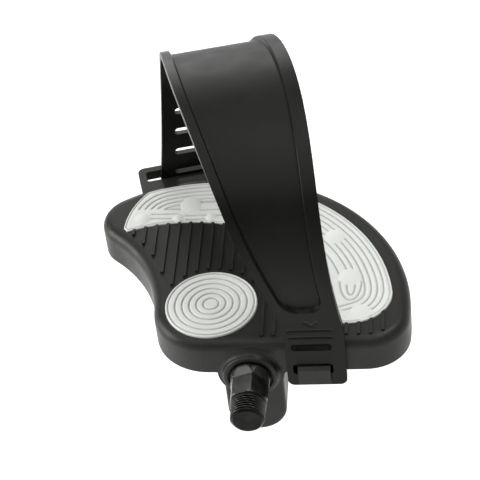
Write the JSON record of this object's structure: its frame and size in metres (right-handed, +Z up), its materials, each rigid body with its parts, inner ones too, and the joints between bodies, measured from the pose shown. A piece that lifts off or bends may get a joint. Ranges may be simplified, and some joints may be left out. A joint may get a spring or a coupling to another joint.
{
  "type": "exercise bike pedal with strap",
  "caption": "Moulded exercise bike pedal platform with grey tread pads, an arched strap over the foot, a weighted keel and a threaded steel spindle.",
  "frame": {"origin": "on the spindle axis at the shoulder that seats on the crank", "axes": "+X forward along the foot, +Y along the spindle away from the crank, +Z up out of the deck"},
  "size_m": [0.1369, 0.1526, 0.1437],
  "materials": {
    "body_plastic": "black satin moulding",
    "tread_rubber": "light grey matt",
    "strap_rubber": "black satin",
    "seal_rubber": "black matt",
    "black_steel": "black oxide, oiled",
    "bearing_steel": "bright ground",
    "slug_iron": "as cast"
  },
  "bodies": {
    "spindle": {"spindle": "black_steel", "outer_cone": "bearing_steel", "keyed_washer": "bearing_steel", "lock_nut": "bearing_steel"},
    "platform": {"pedal_body": "body_plastic", "round_tread_pad": "tread_rubber", "crescent_tread_pad": "tread_rubber", "strap": "strap_rubber", "inner_bearing_cup": "bearing_steel", "outer_bearing_cup": "bearing_steel", "inner_bearing_balls": "bearing_steel", "outer_bearing_balls": "bearing_steel", "inner_seal": "seal_rubber", "end_cap": "body_plastic", "counterweight": "slug_iron", "keel_plug": "body_plastic"}
  },
  "joints": [
    {"name": "pedal_spin", "type": "hinge", "parent": "spindle", "child": "platform", "pos_m": [0, 0.06, 0], "axis": [0, 1, 0], "continuous": true}
  ]
}
